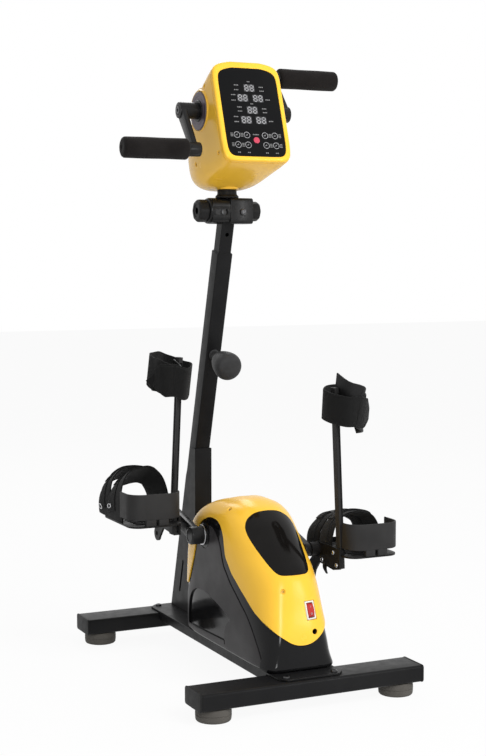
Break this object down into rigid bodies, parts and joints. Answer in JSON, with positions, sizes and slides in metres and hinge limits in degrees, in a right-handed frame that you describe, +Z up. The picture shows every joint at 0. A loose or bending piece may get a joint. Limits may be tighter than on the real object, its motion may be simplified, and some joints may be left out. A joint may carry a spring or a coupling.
{
  "type": "motorized therapy bike",
  "caption": "Free-standing motorized leg and arm trainer with strapped foot cradles, calf rests, hand cranks and a tilting display head.",
  "frame": {"origin": "on the floor, midway between the two base tubes and on the plane of symmetry", "axes": "+Z up, +Y forward as the user sits facing it from -Y, +X to the user's right"},
  "size_m": [0.486, 0.6232, 1.1298],
  "materials": {
    "black_paint": "satin black paint",
    "black_steel": "satin black paint",
    "yellow_gloss": "glossy yellow",
    "black_gloss": "glossy black",
    "black_matte": "matte black",
    "grey_matte": "matte dark grey",
    "foot_rubber": "matte warm grey rubber",
    "foam": "matte black foam",
    "fabric": "black webbing",
    "mauve_metal": "satin, slightly mauve",
    "motor_metal": "die cast",
    "steel": "turned steel",
    "smoked": "smoked, glossy",
    "pale_plastic": "pale grey",
    "red_plastic": "red"
  },
  "bodies": {
    "base": {"front_tube": "black_paint", "rear_tube": "black_paint", "front_cap_left": "black_matte", "front_cap_right": "black_matte", "rear_cap_left": "black_matte", "rear_cap_right": "black_matte", "front_foot_left": "foot_rubber", "front_foot_right": "foot_rubber", "rear_foot_left": "foot_rubber", "rear_foot_right": "foot_rubber", "base_channel": "black_paint", "post_bracket": "black_paint", "outer_post": "black_paint", "casing_left": "black_gloss", "casing_right": "black_gloss", "top_cover": "yellow_gloss", "window": "smoked", "switch_frame": "pale_plastic", "drive_motor": "motor_metal", "drive_belt": "black_matte"},
    "height_knob": {"height_knob": "black_matte"},
    "mast": {"inner_post": "black_paint"},
    "tilt_head": {"tilt_block": "black_matte", "neck_collar": "black_matte"},
    "tilt_knob_left": {"tilt_knob_left": "black_matte"},
    "tilt_knob_right": {"tilt_knob_right": "black_matte"},
    "console": {"console_shell": "yellow_gloss", "console_bezel": "yellow_gloss", "display_panel": "black_gloss", "hub_disc_left": "mauve_metal", "hub_disc_right": "mauve_metal", "hand_motor": "motor_metal"},
    "hand_crank": {"hand_shaft": "steel", "hand_arm_left": "black_matte", "hand_arm_right": "black_matte"},
    "hand_pinion": {"hand_pinion": "steel"},
    "grip_left": {"grip_left": "foam"},
    "grip_right": {"grip_right": "foam"},
    "power_switch": {"power_switch": "red_plastic"},
    "pedal_crank": {"crank_shaft": "steel", "crank_pulley": "black_matte", "pedal_arm_left": "black_matte", "pedal_arm_right": "black_matte"},
    "motor_pulley": {"motor_pulley": "motor_metal"},
    "pedal_left": {"pedal_bracket_left": "black_steel", "footplate_left": "black_steel", "heel_band_left": "grey_matte", "toe_strap_left": "fabric", "instep_strap_left": "fabric", "calf_rod_left": "grey_matte"},
    "pedal_right": {"pedal_bracket_right": "black_steel", "footplate_right": "black_steel", "heel_band_right": "grey_matte", "toe_strap_right": "fabric", "instep_strap_right": "fabric", "calf_rod_right": "grey_matte"},
    "calf_left": {"calf_cuff_left": "black_matte", "calf_strap_left": "fabric"},
    "calf_right": {"calf_cuff_right": "black_matte", "calf_strap_right": "fabric"}
  },
  "joints": [
    {"name": "post_height", "type": "slide", "parent": "base", "child": "mast", "axis": [0, -0.274, 0.9617], "range_m": [-0.03, 0.12]},
    {"name": "height_knob_turn", "type": "hinge", "parent": "base", "child": "height_knob", "pos_m": [0, 0.11349, 0.5834], "axis": [0, -0.9617, -0.274], "continuous": true},
    {"name": "head_tilt", "type": "hinge", "parent": "mast", "child": "tilt_head", "pos_m": [0, 0.05168, 0.85694], "axis": [1, 0, 0], "range_deg": [-15, 15]},
    {"name": "tilt_knob_left_turn", "type": "hinge", "parent": "tilt_head", "child": "tilt_knob_left", "pos_m": [0, 0.05168, 0.85694], "axis": [1, 0, 0], "continuous": true},
    {"name": "tilt_knob_right_turn", "type": "hinge", "parent": "tilt_head", "child": "tilt_knob_right", "pos_m": [0, 0.05168, 0.85694], "axis": [1, 0, 0], "continuous": true},
    {"name": "head_swivel", "type": "hinge", "parent": "tilt_head", "child": "console", "pos_m": [0, 0.05168, 0.88094], "axis": [0, 0, 1], "range_deg": [-90, 90]},
    {"name": "hand_crank_turn", "type": "hinge", "parent": "console", "child": "hand_crank", "pos_m": [0, 0.01998, 1.03704], "axis": [1, 0, 0], "continuous": true},
    {"name": "hand_pinion_turn", "type": "hinge", "parent": "console", "child": "hand_pinion", "pos_m": [0, 0.04867, 1.01463], "axis": [1, 0, 0], "continuous": true},
    {"name": "grip_left_spin", "type": "hinge", "parent": "hand_crank", "child": "grip_left", "pos_m": [-0.18, -0.03802, 0.96307], "axis": [1, 0, 0], "continuous": true},
    {"name": "grip_right_spin", "type": "hinge", "parent": "hand_crank", "child": "grip_right", "pos_m": [0.18, 0.07798, 1.11101], "axis": [1, 0, 0], "continuous": true},
    {"name": "power_switch_rock", "type": "hinge", "parent": "base", "child": "power_switch", "pos_m": [0.01989, -0.24707, 0.15886], "axis": [0.9744, 0.225, 0], "range_deg": [-7, 7]},
    {"name": "pedal_crank_turn", "type": "hinge", "parent": "base", "child": "pedal_crank", "pos_m": [0, -0.004, 0.258], "axis": [1, 0, 0], "continuous": true},
    {"name": "motor_pulley_turn", "type": "hinge", "parent": "base", "child": "motor_pulley", "pos_m": [0, -0.118, 0.15], "axis": [1, 0, 0], "continuous": true},
    {"name": "pedal_left_turn", "type": "hinge", "parent": "pedal_crank", "child": "pedal_left", "pos_m": [-0.11, 0.09294, 0.28253], "axis": [1, 0, 0], "continuous": true},
    {"name": "pedal_right_turn", "type": "hinge", "parent": "pedal_crank", "child": "pedal_right", "pos_m": [0.11, -0.10094, 0.23347], "axis": [1, 0, 0], "continuous": true},
    {"name": "calf_left_height", "type": "slide", "parent": "pedal_left", "child": "calf_left", "axis": [0.0436, 0, 0.999], "range_m": [-0.1, 0.015]},
    {"name": "calf_right_height", "type": "slide", "parent": "pedal_right", "child": "calf_right", "axis": [-0.0436, 0, 0.999], "range_m": [-0.1, 0.015]}
  ],
  "couplings": [
    {"joint": "hand_pinion_turn", "follows": "hand_crank_turn", "ratio": -3},
    {"joint": "motor_pulley_turn", "follows": "pedal_crank_turn", "ratio": 2.625},
    {"joint": "pedal_left_turn", "follows": "pedal_crank_turn", "ratio": -1},
    {"joint": "pedal_right_turn", "follows": "pedal_crank_turn", "ratio": -1}
  ]
}
